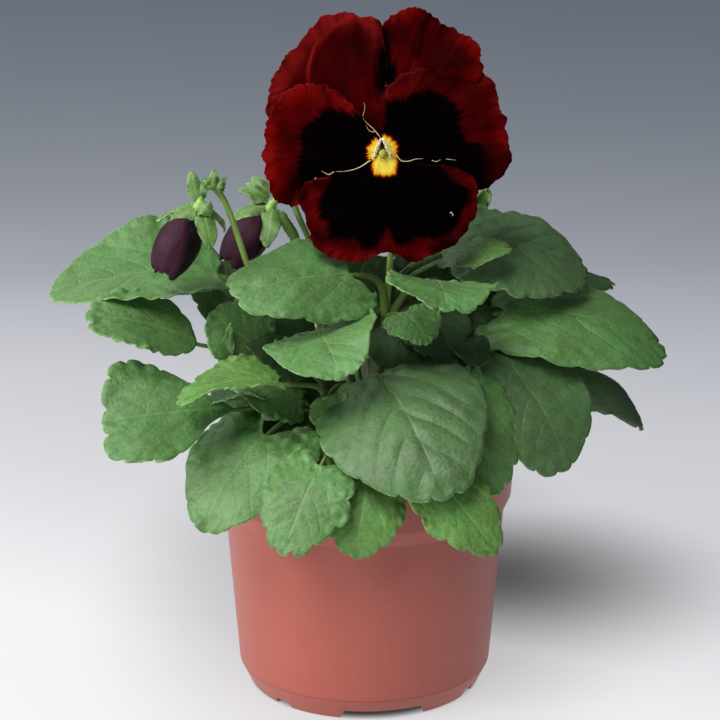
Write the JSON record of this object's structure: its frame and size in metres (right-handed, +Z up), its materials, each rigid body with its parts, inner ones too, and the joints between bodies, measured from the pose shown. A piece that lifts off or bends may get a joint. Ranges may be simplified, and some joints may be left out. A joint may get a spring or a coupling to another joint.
{
  "type": "potted pansy planter",
  "caption": "Flowering garden pansy with scalloped leaves, one open bloom and nodding buds, growing in a round plastic nursery pot of peat.",
  "frame": {"origin": "middle of the pot's foot ring, on the surface that the pot stands on", "axes": "+Z up along the pot's axis, -Y the way the bloom faces, +X to the bloom's right as seen from the front"},
  "size_m": [0.2053, 0.1379, 0.2313],
  "materials": {
    "pot": "satin moulded terracotta-coloured plastic",
    "soil": "damp peat with coarse fibres",
    "leaf": "soft green leaf with sunken veins",
    "petal": "velvety dark red petal with black blotches",
    "eye": "matt yellow and cream tufts",
    "bud": "smooth dark purple rolled petals"
  },
  "bodies": {
    "root": {"pot": "pot", "soil": "soil", "stem_front": "leaf", "stem_front_left": "leaf", "stem_left": "leaf", "stem_front_right": "leaf", "stem_right": "leaf", "stem_bloom": "leaf", "stem_rear_left": "leaf", "stem_rear_right": "leaf", "bloom_petals": "petal", "bloom_eye": "eye", "bud_left_petals": "bud", "bud_rear_petals": "bud"}
  },
  "joints": []
}
